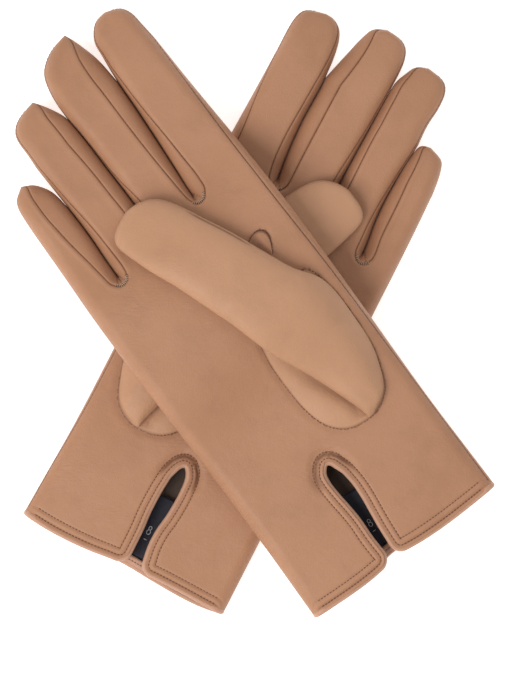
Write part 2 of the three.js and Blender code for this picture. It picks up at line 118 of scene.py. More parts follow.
# Lines that bound each finger's lane. Past its crotch a line splits in two, one for each finger.
# Beyond the shoulder each side of a fingertip follows its own outline to where the two meet.
RIGHT = {
    "name": "right", "x": 59.81, "y": -95.95, "turn": 36.5, "mirror": 1, "draped": True,
    "far_edge": curve((0, -45.4), (34, -44.7), (100, -45.2), (150, -45.5), (174, -44.9), (192, -44.5)),
    "near_edge": curve(
        (0, 45.2), (40, 44.6), (90, 45.3), (150, 45.4), (177, 44.4), (202, 43.1), (226, 42.2),
    ),
    "crotch": {"near": (161.2, 17.6), "mid": (156.5, -5.0), "far": (152.8, -27.2)},
    "hem_palm": curve(
        (-45, -2.2), (-38, -2.6), (-12, -2.5), (-6, -1.6), (-1, -1.6), (7, -2.5), (38, -2.6),
        (45, -2.2),
    ),
    "hem_back": curve((-45, -2.2), (-14, -0.8), (-5, 0.5), (3, 0.5), (14, -1.0), (45, -2.2)),
    "vent_far": curve(
        (1, -6.4), (12, -6.9), (20, -6.6), (26, -6.9), (33, -7.5), (39, -7.6), (43, -6.6),
        (45.2, -4.8),
    ),
    "vent_near": curve(
        (1, -4.0), (6, -3.7), (14, -3.0), (20, -2.2), (27, -1.4), (34, -1.2), (40, -2.1),
        (45.2, -4.6),
    ),
    "gap": {
        "near": curve(
            (161, 16.4), (169, 16.5), (177, 17.1), (190, 18.0), (208, 19.0), (222, 19.5),
            (226, 19.8),
        ),
        "mid": curve((156.5, -4.9), (178, -4.6), (196, -4.9), (211, -5.2), (222, -6.0)),
        "far": curve((152.5, -27.4), (161, -27.4), (179, -26.8), (197, -27.3), (212, -27.9)),
    },
    "index": {
        "seam_left": curve(
            (161, 21.2), (165, 22.3), (171, 22.8), (180, 22.5), (190, 22.1), (205, 21.2),
            (226, 20.9),
        ),
        "seam_right": curve(
            (0, 44.1), (60, 43.8), (120, 43.3), (143, 42.6), (171, 42.0), (199, 41.7), (226, 41.8),
        ),
        "shoulder": 226,
        "tip_left": [(20.6, 233), (21.2, 238.5), (23.5, 242.8), (27.2, 245.9), (32, 246.7)],
        "tip_right": [(41.5, 233), (40.6, 240), (37.8, 244.3), (32, 246.7)],
    },
    "middle": {
        "seam_left": curve(
            (156.5, -3.0), (165, -1.7), (177, -2.1), (187, -3.6), (206, -4.6), (222, -5.7),
        ),
        "seam_right": curve(
            (161, 14.6), (166, 13.9), (175, 13.3), (186, 12.7), (201, 12.2), (222, 12.0),
        ),
        "shoulder": 221,
        "tip_left": [(-5.8, 229), (-4.7, 236), (-2.6, 241.3), (1.8, 245.2), (7.5, 247.7), (13.4, 248.8)],
        "tip_right": [(18.6, 231.5), (17.2, 238), (15.2, 244.5), (13.4, 248.8)],
    },
    "ring": {
        "seam_left": curve(
            (152.5, -24.0), (160, -23.2), (168, -23.4), (178, -23.9), (194, -25.5), (212, -26.8),
        ),
        "seam_right": curve(
            (156.5, -8.4), (162, -9.3), (176, -9.7), (184, -10.1), (198, -10.6), (212, -11.7),
        ),
        "shoulder": 212,
        "tip_left": [(-27.6, 218.5), (-27.4, 226), (-25.2, 230.2), (-20.9, 232.8), (-13.3, 234.6)],
        "tip_right": [(-5.9, 220.6), (-7.8, 225.8), (-10.7, 231), (-13.3, 234.6)],
    },
    "little": {
        "seam_right": curve((152.5, -31.0), (158, -31.9), (166, -33.0), (179, -35.0), (192, -36.4)),
        "shoulder": 192,
        "tip_left": [(-44.2, 198), (-43.6, 203), (-41.9, 206.5), (-37.3, 209.7)],
        "tip_right": [(-27.8, 197.7), (-29.1, 202), (-32.6, 207), (-37.3, 209.7)],
    },
}
LEFT = {
    "name": "left", "x": -53.19, "y": -101.65, "turn": -28.0, "mirror": -1, "draped": False,
    "far_edge": curve(
        (0, -45.4), (34, -44.8), (100, -43.2), (140, -42.1), (157, -41.8), (175, -41.3),
        (189, -40.7),
    ),
    "near_edge": curve((0, 45.4), (40, 44.2), (90, 44.6), (150, 43.9), (183, 43.2), (214, 42.9)),
    "crotch": {"near": (162.0, 17.4), "mid": (156.5, -5.6), "far": (151.9, -27.8)},
    "hem_palm": curve(
        (-45, -0.9), (-12, -0.9), (-4, -1.3), (5, -1.8), (15, -3.0), (38, -3.3), (45, -2.6),
    ),
    "hem_back": curve(
        (-45, -0.9), (-38, -2.0), (-13, -2.1), (-3, -1.5), (5, -1.5), (15, -2.4), (35, -2.8),
        (45, -2.6),
    ),
    "vent_far": curve(
        (1, -6.6), (5, -6.4), (11, -5.4), (17, -5.3), (24, -6.2), (30, -6.6), (37, -6.5), (42, -5.7),
        (45.2, -3.8),
    ),
    "vent_near": curve(
        (1, -1.3), (9, -1.2), (15, -1.0), (22, -0.4), (29, -0.3), (35, -0.5), (41, -1.4),
        (45.2, -3.6),
    ),
    "gap": {
        "near": curve((162, 17.2), (170, 18.4), (191, 20.1), (212, 20.1), (218, 20.7)),
        "mid": curve((156.5, -5.4), (183, -5.2), (199, -5.4), (222, -5.8)),
        "far": curve(
            (151.5, -27.2), (159, -26.6), (172, -25.0), (189, -24.9), (204, -26.0), (216, -27.0),
        ),
    },
    "index": {
        "seam_left": curve(
            (162, 20.6), (166, 21.6), (171, 22.6), (181, 23.3), (197, 23.0), (218, 22.3),
        ),
        "seam_right": curve(
            (0, 44.9), (20, 44.3), (40, 43.4), (110, 43.3), (150, 41.0), (174, 39.8), (194, 41.6),
            (207, 42.4), (218, 42.6),
        ),
        "shoulder": 213,
        "tip_left": [(20.8, 220.5), (22.2, 227.5), (24.5, 232), (28.3, 234.5), (32, 234.9)],
        "tip_right": [(42.9, 224.5), (41.7, 230.3), (38.9, 233), (32, 234.9)],
    },
    "middle": {
        "seam_left": curve((156.5, -3.0), (177, -2.6), (190, -3.6), (204, -4.5), (222, -4.9)),
        "seam_right": curve(
            (162, 13.4), (166, 13.1), (178, 13.2), (195, 13.2), (217, 13.1), (222, 13.0),
        ),
        "shoulder": 212,
        "tip_left": [(-5.6, 223), (-5.5, 229), (-4.8, 234), (-3, 237.8), (0.6, 240), (6.8, 240.8)],
        "tip_right": [(16.9, 224.7), (14.7, 232.9), (12.2, 238.3), (6.8, 240.8)],
    },
    "ring": {
        "seam_left": curve(
            (151.5, -24.0), (160, -23.5), (169, -23.1), (186, -23.7), (206, -25.2), (216, -25.4),
        ),
        "seam_right": curve((156.5, -8.4), (165, -9.0), (176, -9.1), (203, -8.8), (216, -9.7)),
        "shoulder": 205,
        "tip_left": [(-25.7, 214), (-26.4, 222), (-25.8, 229.2), (-22.7, 233.2), (-15.2, 234.9)],
        "tip_right": [(-5.6, 216), (-5.9, 223.2), (-7.7, 228.1), (-10.3, 232.8), (-15.2, 234.9)],
    },
    "little": {
        "seam_right": curve((151.5, -30.2), (154, -31.0), (166, -30.3), (180, -29.9), (192, -29.2)),
        "shoulder": 190,
        "tip_left": [(-40.2, 194.5), (-39.2, 200), (-37.2, 204.3), (-31.2, 206.8)],
        "tip_right": [(-25.3, 197.5), (-26.2, 203.6), (-27.8, 206), (-31.2, 206.8)],
    },
}
LANES = ("little", "ring", "middle", "index")


def hem_shift(glove, points):
    """How far the cuff's edge wanders from straight, on the palm side and on the back."""
    palm = smooth((points[:, 2] - 2) / 6)
    shift = glove["hem_palm"](points[:, 0]) * palm + glove["hem_back"](points[:, 0]) * (1 - palm)
    return shift * (1 - smooth(points[:, 1] / 22))


def place(glove, points):
    """Lays flat glove points (N x 3, mm) in the scene, in metres."""
    points = np.asarray(points, float)
    turn = math.radians(glove["turn"])
    across = points[:, 0] * glove["mirror"]
    along = points[:, 1] + hem_shift(glove, points)
    up = points[:, 2] + (ride_height(along) if glove["draped"] else 0)
    x = glove["x"] + across * math.cos(turn) - along * math.sin(turn)
    y = glove["y"] + across * math.sin(turn) + along * math.cos(turn)
    return np.stack([x, y, up], 1) * MM


def place_one(glove, across, along, up):
    """One flat glove point in the scene, in metres."""
    return tuple(place(glove, [[across, along, up]])[0])


def vent_sides(glove, along):
    """The middle of the rolled binding on each side of the vent, from the hem to its arched top."""
    along = np.asarray(along, float)
    climbed = np.clip(along - ARCH_START, 0, None) / ARCH_HEIGHT
    arch = np.sqrt(np.clip(1 - climbed**2, 0, 1))
    corner = np.clip((HEM_LINE + CORNER - along) / CORNER, 0, 1)
    flare = CORNER * (1 - np.sqrt(np.clip(1 - corner**2, 0, 1)))
    middle = (glove["vent_far"](along) + glove["vent_near"](along)) / 2
    at = np.minimum(along, ARCH_START)
    half = ((glove["vent_near"](at) - glove["vent_far"](at)) / 2 + VENT_ROLL) * arch + flare
    return middle - half, middle + half


def vent_middle(glove, along):
    """The line up the middle of the vent."""
    far, near = vent_sides(glove, along)
    return (far + near) / 2


def rim_line(glove):
    """The palm side's free edge: far hem, round the vent, near hem, as (across, along) points."""
    far_edge = float(glove["far_edge"](0.0)) + HEM_END
    near_edge = float(glove["near_edge"](0.0)) - HEM_END
    turn = np.radians(np.linspace(0, 90, 13))
    climb = np.concatenate([
        HEM_LINE + CORNER * (1 - np.cos(turn)),
        np.linspace(HEM_LINE + CORNER, ARCH_START, 30)[1:],
        ARCH_START + ARCH_HEIGHT * np.sin(turn)[1:],
    ])
    far, near = vent_sides(glove, climb)
    far_hem = [(a, HEM_LINE) for a in np.linspace(far_edge, far[0], 40)[:-1]]
    near_hem = [(a, HEM_LINE) for a in np.linspace(near[0], near_edge, 44)[1:]]
    up = list(zip(far, climb))
    down = list(zip(near[::-1], climb[::-1]))[1:]
    return np.array(far_hem + up + down + near_hem)


def lengths_along(line):
    """How far along a line each of its points is."""
    return np.concatenate([[0], np.cumsum(np.linalg.norm(np.diff(line, axis=0), axis=1))])


def points_at(line, walked, at):
    """The points at these lengths along a line."""
    return np.stack([np.interp(at, walked, values) for values in line.T], -1)


def resample(line, step):
    """The same line with points evenly spaced."""
    line = np.asarray(line, float)
    walked = lengths_along(line)
    return points_at(line, walked, np.linspace(0, walked[-1], max(2, int(walked[-1] / step))))


def offset_inward(line, distance):
    """A line at this distance to the left of another, walking along it."""
    ahead = np.gradient(line, axis=0)
    ahead /= np.linalg.norm(ahead, axis=1, keepdims=True)
    return line + np.stack([-ahead[:, 1], ahead[:, 0]], 1) * distance


def crotch_turn(crotch, along, seam, edge, side):
    """Bends a seam round the bottom of its crotch, where it meets the next finger's seam."""
    at, where = crotch
    k = np.clip((along - at) / CROTCH_TURN, 0, 1)
    turn = np.sqrt(np.clip(1 - (1 - k) ** 2, 0, 1))
    above = where + (seam - where) * turn
    below = edge + side * (0.3 + 2.3 * smooth((at - along) / 12))
    away = np.where(along < at, below, above)
    return np.maximum(away, edge + 0.25) if side > 0 else np.minimum(away, edge - 0.25)


def lane_lines(glove, lane, along):
    """Left edge, right edge, left seam, right seam of a lane, and whether each edge is split."""
    spec = glove[lane]
    crotches = glove["crotch"]
    left_crotch = {"index": "near", "middle": "mid", "ring": "far"}.get(lane)
    right_crotch = {"middle": "near", "ring": "mid", "little": "far"}.get(lane)
    lines = []
    for crotch, edge in ((left_crotch, "far_edge"), (right_crotch, "near_edge")):
        if crotch is None:
            lines.append((glove[edge](along), np.ones_like(along)))
            continue
        at, where = crotches[crotch]
        below = along < at
        root = where * np.ones_like(along)
        if crotch == "mid":
            centre = vent_middle(glove, along)
            k = smooth((along - 55) / 90)
            root = centre * (1 - k) + where * k
        value = np.where(below, root, glove["gap"][crotch](along))
        lines.append((value, smooth((along - at) / CROTCH_DEPTH)))
    (left, left_split), (right, right_split) = lines
    seam_left = spec["seam_left"](along) if "seam_left" in spec else left + SEAM_INSET
    seam_right = spec["seam_right"](along) if "seam_right" in spec else right - SEAM_INSET
    if left_crotch:
        seam_left = crotch_turn(crotches[left_crotch], along, seam_left, left, 1)
    if right_crotch:
        seam_right = crotch_turn(crotches[right_crotch], along, seam_right, right, -1)
    return left, right, seam_left, seam_right, left_split, right_split


# Extra rows round the foot of each crotch, as distances along from it.
CROTCH_ROWS = np.array([
    -2.6, -1.3, -0.8, -0.4, -0.1, 0, 0.05, 0.18, 0.4, 0.7, 1.1, 1.6, 2.2, 2.9, 3.7, 4.5, 5.2,
])


def lane_rows(glove, lane):
    """Rows of a lane: (along, tip angle) pairs. Lanes share rows below the crotches."""
    shoulder = glove[lane]["shoulder"]
    shared = [np.arange(HEM_LINE, 8, 0.4), np.arange(8, SHARED_ROWS_TO, 1.3)]
    for at, _ in glove["crotch"].values():
        shared.append(at + CROTCH_ROWS)
    shared = np.unique(np.round(np.concatenate(shared), 3))
    shared = shared[shared < SHARED_ROWS_TO - 0.5]
    count = int((shoulder - SHARED_ROWS_TO) / 1.5)
    own = np.linspace(SHARED_ROWS_TO, shoulder, count)
    slopes = np.radians(np.linspace(0, 90, 22)[1:])
    along = np.concatenate([shared, own, np.full(len(slopes), float(shoulder))])
    slope = np.concatenate([np.zeros(len(shared) + count), slopes])
    return along, slope


def columns(left, right, seam_left, seam_right):
    """Across positions for each row, close together at the edges and on the seams."""
    gap_left = np.clip((seam_left - left) * 0.4, 0.02, 0.9)
    gap_right = np.clip((right - seam_right) * 0.4, 0.02, 0.9)
    bits = []
    for k in np.linspace(0, 1, 7):
        bits.append(left + (seam_left - gap_left - left) * (1 - math.cos(k * math.pi / 2)))
    for k in (-0.45, -0.2, 0, 0.2, 0.45, 1.0):
        bits.append(seam_left + gap_left * k)
    inner_left = seam_left + gap_left
    inner_right = seam_right - gap_right
    for k in np.linspace(0, 1, 15)[1:-1]:
        bits.append(inner_left + (inner_right - inner_left) * k)
    for k in (-1.0, -0.45, -0.2, 0, 0.2, 0.45):
        bits.append(seam_right + gap_right * k)
    for k in np.linspace(1, 0, 7):
        bits.append(right - (right - seam_right - gap_right) * (1 - math.cos(k * math.pi / 2)))
    return np.stack(bits, 1)


# The columns that lie on a lane's two seams.
SEAM_LEFT_COLUMN = 9
SEAM_RIGHT_COLUMN = 29


def rounding(distance, reach):
    """1 at an edge, falling to 0 at `reach` inside it, along a quarter ellipse."""
    k = np.clip(1 - distance / reach, 0, 1)
    return 1 - np.sqrt(np.clip(1 - k * k, 0, 1))


def palm_height(along):
    """Height of the palm leather, which rises from the cuff to the hand."""
    return CUFF_HEIGHT + (HAND_HEIGHT - CUFF_HEIGHT) * smooth(np.asarray(along, float) / 45)


def palm_swell(across, along):
    """The soft swell of the palm over its width, which fades out towards the fingers."""
    k = np.clip(np.abs(across) / HALF_WIDTH, 0, 1)
    return PALM_CROWN * (1 - k**2) * (1 - smooth((along - PALM_END) / 30))


def crown(across, along):
    """The palm's swell with the shallow dips of worn leather."""
    dips = 0.35 * np.sin(along / 17 + across / 23) + 0.25 * np.sin(along / 9.5 - across / 14 + 1.3)
    return palm_swell(across, along) + dips * smooth(along / 20)


# The seam round the thumb's heel, from the index side round the bottom to the far side.
OVAL = [
    (33.4, 115.0), (35.6, 114.2), (37.4, 111.0), (39.2, 103.2), (40.0, 91.1), (39.0, 76.6),
    (36.7, 65.7), (32.6, 56.4), (26.1, 51.6), (19.6, 50.4), (11.4, 51.9), (5.3, 57.1),
    (1.9, 65.5), (0.7, 76.9), (0.9, 90.3), (2.3, 99.5),
]


def spline(points, count):
    """A smooth line of this many points through a list of (across, along) points."""
    p = np.array(points, float)
    spans = len(p) - 1
    out = []
    for k in range(count):
        u = k / (count - 1) * spans
        i = min(int(u), spans - 1)
        f = u - i
        a, b, c, d = p[max(i - 1, 0)], p[i], p[i + 1], p[min(i + 2, spans)]
        bend = 2 * a - 5 * b + 4 * c - d
        swing = 3 * b - a - 3 * c + d
        out.append(0.5 * (2 * b + (c - a) * f + bend * f**2 + swing * f**3))
    return np.array(out)


OVAL_LINE = spline(OVAL, 200)
HOLE_TOP = resample([OVAL[-1], OVAL[0]], 0.3)
QUIRK = [
    (22.6, 136.0), (26.0, 137.9), (28.8, 138.3), (30.9, 137.2), (31.6, 134.8), (30.6, 131.2), (27.6, 126.0),
]
QUIRK_LINE = spline(QUIRK, 60)


def distance_to_line(across, along, line):
    """Distance from each point to the nearest of a line's points."""
    tree = KDTree(len(line))
    for i, (a, b) in enumerate(line):
        tree.insert((a, b, 0), i)
    tree.balance()
    flat = zip(across.ravel(), along.ravel())
    return np.array([tree.find((a, b, 0))[2] for a, b in flat]).reshape(across.shape)


FORK_OF = {
    ("index", "left"): "fork_index_middle", ("middle", "right"): "fork_index_middle",
    ("middle", "left"): "fork_middle_ring", ("ring", "right"): "fork_middle_ring",
    ("ring", "left"): "fork_ring_little", ("little", "right"): "fork_ring_little",
}
CROTCH_OF = {"fork_index_middle": "near", "fork_middle_ring": "mid", "fork_ring_little": "far"}


def part_way(points, share):
    """Points at these shares of the length of a smooth line."""
    line = spline(points, 90)
    walked = lengths_along(line)
    return points_at(line, walked, share * walked[-1])


def lane_shape(glove, lane, top):
    """Across and along positions of one lane's grid, its edges, and how far each edge is split off."""
    along, slope = lane_rows(glove, lane)
    left, right, seam_left, seam_right, split_left, split_right = lane_lines(glove, lane, along)
    if top and lane in ("middle", "ring"):
        in_vent = along < VENT_TOP + VENT_ROLL
        far, near = vent_sides(glove, along)
        wider = (ROW_OFFSETS[1] - SEAM_INSET) * smooth((VENT_TOP + 13 - along) / 9)
        if lane == "middle":
            left = np.where(in_vent, near, left)
            seam_left = np.where(in_vent, left + ROW_OFFSETS[1], seam_left + wider)
        else:
            right = np.where(in_vent, far, right)
            seam_right = np.where(in_vent, right - ROW_OFFSETS[1], seam_right - wider)
    share_left = (seam_left - left) / (right - left)
    share_right = (seam_right - left) / (right - left)
    tip = slope > 0
    share = slope / (math.pi / 2)
    left_line = np.stack([left, along], 1)
    right_line = np.stack([right, along], 1)
    spec = glove[lane]
    left_line[tip] = part_way([left_line[-1], *spec["tip_left"]], share[tip])
    right_line[tip] = part_way([right_line[-1], *spec["tip_right"]], share[tip])
    left, right = left_line[:, 0], right_line[:, 0]
    width = right - left
    seam_left = left + width * share_left * (1 - share) ** 0.7
    seam_right = left + width * (share_right + (1 - share_right) * share**3.5)
    across = columns(left, right, seam_left, seam_right)
    across[-1] = left[-1]
    k = (across - left[:, None]) / np.maximum(width, 0.01)[:, None]
    s = left_line[:, 1:] * (1 - k) + right_line[:, 1:] * k
    return across, s, left, right, split_left, split_right, np.cos(slope)


def seam_lines(glove):
    """Every finger and side seam of a glove, as lists of evenly spaced points."""
    lines = {}
    for lane in LANES:
        across, s, *_ = lane_shape(glove, lane, False)
        for which, column in (("seam_left", SEAM_LEFT_COLUMN), ("seam_right", SEAM_RIGHT_COLUMN)):
            if which not in glove[lane]:
                continue
            fork = FORK_OF.get((lane, "left" if which == "seam_left" else "right"))
            line = np.stack([across[:, column], s[:, column]], 1)
            if fork:
                at, where = glove["crotch"][CROTCH_OF[fork]]
                line = np.concatenate([[(where, at)], line[s[:, column] > at + 0.01]])
            else:
                line = line[s[:, column] > 3.6]
            lines[lane, which] = resample(line, 0.25)
    return lines


def tuck_lines(glove):
    """The two short folds that spread from the end of each finger gap to the foot of its crotch."""
    points = []
    for key in ("near", "mid", "far"):
        at, where = glove["crotch"][key]
        top = (float(glove["gap"][key](at + 5.2)), at + 5.2)
        for foot in ((where - 2.1, at + 1.1), (where + 1.5, at + 0.9)):
            points.append(resample([top, foot], 0.2))
    return np.concatenate(points)


def relief(glove, across, s):
    """Height added to the palm leather by seams and hems, and how dark each point is, with a painted shadow
    over the vent's top.
    """
    up = np.zeros_like(s)
    off = np.full_like(s, 99.0)
    low = s < VENT_TOP + 12
    off[low] = distance_to_line(across[low], s[low], resample(glove["rim"], 0.4))
    first, second = ROW_OFFSETS
    up -= 0.5 * bell(off - first, 0.45)
    up += 0.2 * bell(off - (first + second) / 2, 0.75)
    up -= 0.34 * bell(off - second, 0.35)
    over_vent = smooth((s - (VENT_TOP - 12)) / 10) * smooth((VENT_TOP + 11 - s) / 4)
    up -= 1.1 * over_vent * bell(off - second, 1.6)
    gap = distance_to_line(across, s, np.concatenate([OVAL_LINE, HOLE_TOP, QUIRK_LINE]))
    up += 0.12 * bell(gap - 2.6, 1.9) - 0.5 * bell(gap, 0.9)
    # Seam and stitch lines are dark; over the vent's top a painted shadow darkens the leather beside the
    # rolled edge.
    dark = np.maximum.reduce([
        0.9 * over_vent * bell(off - 3.1, 1.2), 0.62 * bell(off - first, 0.36),
        0.4 * bell(off - second, 0.3), 0.7 * bell(gap, 0.5),
    ])
    return up, dark


def lane_grid(glove, lane, top):
    """Points of one lane's leather, on the palm side or the back, with the darkness of its seams and of
    painted shade.
    """
    across, s, left, right, split_left, split_right, shrink = lane_shape(glove, lane, top)
    height = palm_height(s) * (shrink**0.75)[:, None]
    middle = palm_height(s) / 2
    near_left = across - left[:, None]
    near_right = right[:, None] - across
    outer = np.clip((right - left)[:, None] * 0.48, 0.01, FINGER_REACH)
    drop_left = rounding(near_left, outer) * split_left[:, None]
    drop_right = rounding(near_right, outer) * split_right[:, None]
    drop = np.clip(drop_left + drop_right, 0, 1)
    lift = height / 2 * (1 - drop)
    halfway = across.shape[1] // 2
    seam_lift = np.repeat(lift[:, [SEAM_LEFT_COLUMN]], across.shape[1], 1)
    seam_lift[:, halfway:] = lift[:, [SEAM_RIGHT_COLUMN]]
    seam_gap = distance_to_line(across, s, np.concatenate(list(glove["seams"].values())))
    seam_gap = np.hypot(seam_gap, lift - seam_lift)
    added = -0.45 * bell(seam_gap, 0.42) + 0.25 * bell(seam_gap - 1.3, 0.9)
    # Painted shade: the sides of a finger that face a gap darken towards it, more so low down between the
    # fingers.
    inner = drop_left * (lane != "little") + drop_right * (lane != "index")
    between = smooth((glove[lane]["shoulder"] + 8 - s) / 16)
    dark = np.maximum(bell(seam_gap, 0.33), (0.3 + 0.52 * between) * inner**1.5)
    if not top:
        return np.stack([across, s, middle - lift - added * (1 - drop)], 2), dark
    swell = crown(across, s) + 0.9 * smooth((s - 165) / 30)
    more, darker = relief(glove, across, s)
    tuck = distance_to_line(across, s, glove["tucks"])
    added = added - 0.45 * bell(tuck, 0.5)
    # Painted shade along the tuck folds.
    darker = np.maximum(darker, 0.85 * bell(tuck, 0.4))
    up = middle + lift + (swell * shrink[:, None] + added + more) * (1 - drop)
    return np.stack([across, s, up], 2), np.maximum(dark, darker)


def weld(points):
    """One number for each different point, so that neighbouring grids share their edge."""
    keys = np.round(points / WELD_STEP).astype(np.int64)
    _, first, which = np.unique(keys, axis=0, return_index=True, return_inverse=True)
    return points[first], which.ravel()


def vertex_normals(points, quads):
    """The mean direction that the faces round each point look in, larger faces counting for more."""
    a, b, c, d = (points[quads[:, k]] for k in range(4))
    flat = np.cross(c - a, d - b)
    normals = np.zeros_like(points)
    for k in range(4):
        np.add.at(normals, quads[:, k], flat)
    return normals / np.clip(np.linalg.norm(normals, axis=1, keepdims=True), 1e-12, None)


def grid_faces(rows, cols, wrap_rows=False, wrap_cols=False):
    """Four-cornered faces over a grid of points, going right round where it wraps."""
    faces = []
    for i in range(rows if wrap_rows else rows - 1):
        below, above = i * cols, (i + 1) % rows * cols
        for j in range(cols if wrap_cols else cols - 1):
            k = (j + 1) % cols
            faces.append([below + j, below + k, above + k, above + j])
    return faces


# The order that turns a four-cornered face over and keeps its first corner.
TURNED_OVER = [0, 3, 2, 1]


def tube_faces(rings, sides, closed=False):
    """Faces of a tube made of rings of points, with a face over each end unless it closes on itself."""
    faces = grid_faces(rings, sides, closed, True)
    if not closed:
        faces.append(list(range(sides))[::-1])
        faces.append([(rings - 1) * sides + j for j in range(sides)])
    return faces


# Finely wrinkled places: the middle of each, and how far it reaches across and along.
CREASED = [
    ((2.0, 50.0), (9, 5)), ((-14.0, 47.0), (6, 5)), ((27.0, 158.0), (8, 9)), ((-30.0, 143.0), (12, 8)),
    ((-8.0, 148.0), (9, 6)), ((36.0, 22.0), (8, 10)), ((14.0, 14.0), (14, 8)), ((-40.0, 120.0), (5, 20)),
    ((-26.0, 20.0), (10, 8)), ((40.0, 150.0), (5, 14)),
]


def crease_strength(flat):
    """Where the leather is finely wrinkled: beside the vent, round the crotches and along the edges."""
    strength = np.zeros(len(flat))
    for (across, along), (wide, long) in CREASED:
        spread = ((flat[:, 0] - across) / wide) ** 2 + ((flat[:, 1] - along) / long) ** 2
        strength = np.maximum(strength, np.exp(-spread))
    return strength


def new_object(name, points, faces, material, normals=None, marks=None, creases=None):
    """A smooth mesh object from points in metres."""
    mesh = bpy.data.meshes.new(name)
    mesh.from_pydata([tuple(p) for p in points], [], faces)
    mesh.polygons.foreach_set("use_smooth", [True] * len(mesh.polygons))
    for label, values in (("seam", marks), ("crease", creases)):
        if values is not None:
            attribute = mesh.attributes.new(label, "FLOAT", "POINT")
            attribute.data.foreach_set("value", np.asarray(values, np.float32))
    mesh.update()
    if normals is not None:
        mesh.normals_split_custom_set_from_vertices([tuple(n) for n in normals])
    obj = bpy.data.objects.new(name, mesh)
    bpy.context.scene.collection.objects.link(obj)
    obj.data.materials.append(material)
    return obj


def part_object(name, skin, chosen, material):
    """The faces of a welded skin that make one piece, with the whole skin's normals."""
    quads = skin["quads"][chosen]
    used, local = np.unique(quads, return_inverse=True)
    local = local.reshape(quads.shape)
    faces = [list(dict.fromkeys(face)) for face in local.tolist()]
    faces = [face for face in faces if len(face) > 2]
    creases = crease_strength(skin["flat"][used]) if "flat" in skin else None
    points, normals = skin["points"][used], skin["normals"][used]
    return new_object(name, points, faces, material, normals, skin["seam"][used], creases)


def knuckle_of(lane):
    """Where along the glove a finger starts to bend."""
    return LITTLE_KNUCKLE if lane == "little" else KNUCKLE


def piece_name(glove, lane, top, along, column):
    """Which piece of the glove a face of its skin belongs to."""
    side = "left" if column < SEAM_LEFT_COLUMN else "right" if column >= SEAM_RIGHT_COLUMN else None
    fork = FORK_OF.get((lane, side))
    beyond = along > knuckle_of(lane) - KNUCKLE_REACH - 1
    if fork and along > glove["crotch"][CROTCH_OF[fork]][0]:
        if not beyond:
            return fork
        if lane in ("index", "little"):
            return f"{lane}_fourchette"
        return f"{lane}_fourchette_near" if side == "right" else f"{lane}_fourchette_far"
    wrapped = lane == "index" and column >= SEAM_RIGHT_COLUMN
    if not beyond:
        return "palm_panel" if top and not wrapped else "back_panel"
    if lane == "little":
        return "little_folded_side"
    return f"{lane}_palm_side" if top and not wrapped else f"{lane}_back_side"


def welded_skin(glove, flat, seams, quads):
    """One mesh out of grids that share their edges: its points, faces, dark seams with painted shade, and
    normals.
    """
    points, which = weld(flat)
    marks = np.zeros(len(points))
    np.maximum.at(marks, which, seams)
    quads = which[quads]
    if glove["mirror"] < 0:
        quads = quads[:, ::-1]
    world = place(glove, points)
    normals = vertex_normals(world, quads)
    return {"flat": points, "points": world, "quads": quads, "seam": marks, "normals": normals}


def glove_skin(glove):
    """The whole outer leather of a glove as one welded mesh, and the piece that each face is in."""
    flat, seams, quads, names = [], [], [], []
    count = 0
    for lane in LANES:
        for top in (True, False):
            points, seam = lane_grid(glove, lane, top)
            rows, cols = points.shape[:2]
            faces = np.array(grid_faces(rows, cols)) + count
            count += rows * cols
            flat.append(points.reshape(-1, 3))
            seams.append(seam.reshape(-1))
            quads.append(faces if top else faces[:, TURNED_OVER])
            for along in points[:-1, cols // 2, 1]:
                names.extend(piece_name(glove, lane, top, along, j) for j in range(cols - 1))
    skin = welded_skin(glove, np.concatenate(flat), np.concatenate(seams), np.concatenate(quads))
    return {**skin, "names": np.array(names)}


# The height given for a point that has no leather straight below it.
OPEN_HEIGHT = 11.0


def surface_finder(skin):
    """A function that gives the leather's height above any flat point, looking from above."""
    tree = BVHTree.FromPolygons([tuple(p) for p in skin["flat"]], skin["quads"].tolist())

    def height(across, along):
        hit = tree.ray_cast((float(across), float(along), 60.0), (0, 0, -1))[0]
        return OPEN_HEIGHT if hit is None else hit[2]

    return height


def tube(path, radii, sides=12, closed=False):
    """Points and faces of a round tube along a path, in flat glove millimetres."""
    path = np.asarray(path, float)
    radii = np.broadcast_to(np.asarray(radii, float), (len(path),))
    if closed:
        ahead = np.roll(path, -1, 0) - np.roll(path, 1, 0)
    else:
        ahead = np.gradient(path, axis=0)
    ahead /= np.linalg.norm(ahead, axis=1, keepdims=True)
    side = np.zeros_like(path)
    side[0] = np.cross(ahead[0], [0, 0, 1.0])
    side[0] /= np.linalg.norm(side[0])
    for k in range(1, len(side)):
        side[k] = side[k - 1] - ahead[k] * np.dot(side[k - 1], ahead[k])
        side[k] /= np.linalg.norm(side[k])
    over = np.cross(side, ahead)
    if closed:
        turned = math.atan2(np.dot(side[-1], over[0]), np.dot(side[-1], side[0]))
        twist = -turned * np.arange(len(path))[:, None] / len(path)
        turned_side = np.cos(twist) * side + np.sin(twist) * over
        over = np.cos(twist) * over - np.sin(twist) * side
        side = turned_side
    angles = np.linspace(0, 2 * math.pi, sides, endpoint=False)
    ring = np.cos(angles)[None, :, None] * side[:, None] + np.sin(angles)[None, :, None] * over[:, None]
    points = (path[:, None] + ring * radii[:, None, None]).reshape(-1, 3)
    return points, tube_faces(len(path), sides, closed)


STITCH_STEPS = (-0.5, -0.32, 0.0, 0.32, 0.5)
STITCH_FATNESS = (0.15, 0.8, 1.0, 0.8, 0.15)
STITCH_SIDES = 6


def sideways(ahead):
    """The level direction square to this one."""
    side = np.cross(ahead, [0, 0, 1.0])
    return side / max(np.linalg.norm(side), 1e-9)


